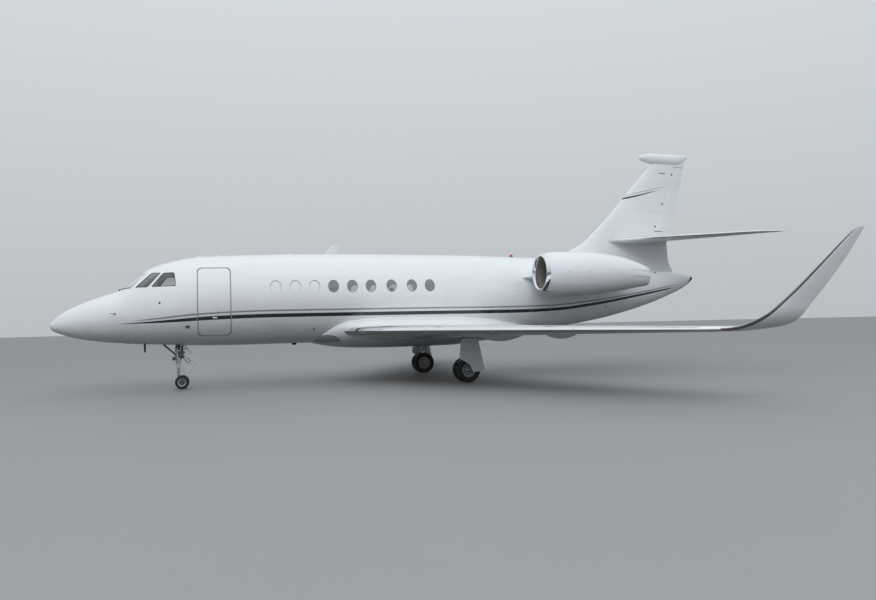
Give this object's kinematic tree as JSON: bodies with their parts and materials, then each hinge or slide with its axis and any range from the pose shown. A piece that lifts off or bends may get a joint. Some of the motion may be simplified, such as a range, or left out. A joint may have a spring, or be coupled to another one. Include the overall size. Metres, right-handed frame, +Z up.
{
  "type": "twin-engine business jet",
  "caption": "Business jet on its landing gear, with blended winglets, rear-mounted engines, an airstair door and a mid-set tailplane, built at full size.",
  "frame": {"origin": "on the ground, at the centre of the bounding box seen from above", "axes": "+X towards the nose, +Y towards the aircraft's left wing tip, +Z up"},
  "size_m": [20.23, 21.3956, 7.1],
  "materials": {
    "paint": "gloss white paint, with navy and grey cheat lines",
    "glazing": "clear laminated glazing",
    "engine_metal": "dull metal",
    "fan_metal": "satin titanium",
    "gear_paint": "semi-gloss light grey paint",
    "rim": "satin light grey",
    "tyre": "matt rubber",
    "carpet": "cut-pile carpet",
    "instrument_panel": "matt dark grey",
    "seat_leather": "soft cream leather"
  },
  "bodies": {
    "airframe": {"nose_cone": "paint", "fuselage_front": "paint", "fuselage_cabin": "paint", "fuselage_rear": "paint", "tail_cone": "paint", "belly_fairing": "paint", "fin": "paint", "tailplane": "paint", "wing_left": "paint", "winglet_left": "paint", "flap_inner_left": "paint", "flap_outer_left": "paint", "nacelle_left": "paint", "pylon_left": "paint", "wing_right": "paint", "winglet_right": "paint", "flap_inner_right": "paint", "flap_outer_right": "paint", "nacelle_right": "paint", "pylon_right": "paint", "windshield_centre": "glazing", "windshield_left": "glazing", "front_side_window_left": "glazing", "rear_side_window_left": "glazing", "windshield_right": "glazing", "front_side_window_right": "glazing", "rear_side_window_right": "glazing", "engine_left": "engine_metal", "engine_right": "engine_metal", "nose_leg": "gear_paint", "main_leg_left": "gear_paint", "main_leg_right": "gear_paint", "cabin_floor": "carpet", "cockpit_panel": "instrument_panel", "crew_seat_left": "seat_leather", "crew_seat_right": "seat_leather", "cabin_seats_left": "seat_leather", "cabin_seats_right": "seat_leather"},
    "door": {"cabin_door": "paint"},
    "nose_steering": {"nose_fork": "gear_paint"},
    "nose_wheels": {"nose_rims": "rim", "nose_tyre_outer": "tyre", "nose_tyre_inner": "tyre"},
    "main_wheels_left": {"main_rims_left": "rim", "main_tyre_outer_left": "tyre", "main_tyre_inner_left": "tyre"},
    "main_wheels_right": {"main_rims_right": "rim", "main_tyre_outer_right": "tyre", "main_tyre_inner_right": "tyre"},
    "fan_left": {"fan_left": "fan_metal"},
    "fan_right": {"fan_right": "fan_metal"},
    "rudder": {"rudder": "paint"},
    "elevator_left": {"elevator_left": "paint"},
    "elevator_right": {"elevator_right": "paint"},
    "aileron_left": {"aileron_left": "paint"},
    "aileron_right": {"aileron_right": "paint"}
  },
  "joints": [
    {"name": "door_hinge", "type": "hinge", "parent": "airframe", "child": "door", "pos_m": [5.98, 0.79, 1.42], "axis": [-1, 0, 0], "range_deg": [0, 125]},
    {"name": "nose_steer", "type": "hinge", "parent": "airframe", "child": "nose_steering", "pos_m": [6.945, 0, 0.64], "axis": [0, 0, 1], "range_deg": [-60, 60]},
    {"name": "nose_wheel_spin", "type": "hinge", "parent": "nose_steering", "child": "nose_wheels", "pos_m": [6.851, 0, 0.184], "axis": [0, 1, 0], "continuous": true},
    {"name": "main_wheel_spin_left", "type": "hinge", "parent": "airframe", "child": "main_wheels_left", "pos_m": [-0.6, 2.222, 0.33], "axis": [0, 1, 0], "continuous": true},
    {"name": "fan_spin_left", "type": "hinge", "parent": "airframe", "child": "fan_left", "pos_m": [-3.665, 1.97, 3], "axis": [1, 0, 0], "continuous": true},
    {"name": "main_wheel_spin_right", "type": "hinge", "parent": "airframe", "child": "main_wheels_right", "pos_m": [-0.6, -2.222, 0.33], "axis": [0, 1, 0], "continuous": true},
    {"name": "fan_spin_right", "type": "hinge", "parent": "airframe", "child": "fan_right", "pos_m": [-3.665, -1.97, 3], "axis": [1, 0, 0], "continuous": true},
    {"name": "rudder_hinge", "type": "hinge", "parent": "airframe", "child": "rudder", "pos_m": [-8.117, 0, 4.47], "axis": [-0.3566, 0, 0.9342], "range_deg": [-25, 25]},
    {"name": "elevator_hinge_left", "type": "hinge", "parent": "airframe", "child": "elevator_left", "pos_m": [-8.075, 0.4, 4.16267], "axis": [-0.4486, 0.8933, -0.0269], "range_deg": [-20, 22]},
    {"name": "aileron_hinge_left", "type": "hinge", "parent": "airframe", "child": "aileron_left", "pos_m": [-2.64921, 6.88, 1.39113], "axis": [-0.3408, 0.9401, 0], "range_deg": [-25, 25]},
    {"name": "elevator_hinge_right", "type": "hinge", "parent": "airframe", "child": "elevator_right", "pos_m": [-8.075, -0.4, 4.16267], "axis": [0.4486, 0.8933, 0.0269], "range_deg": [-20, 22]},
    {"name": "aileron_hinge_right", "type": "hinge", "parent": "airframe", "child": "aileron_right", "pos_m": [-2.64921, -6.88, 1.39113], "axis": [0.3408, 0.9401, 0], "range_deg": [-25, 25]}
  ]
}
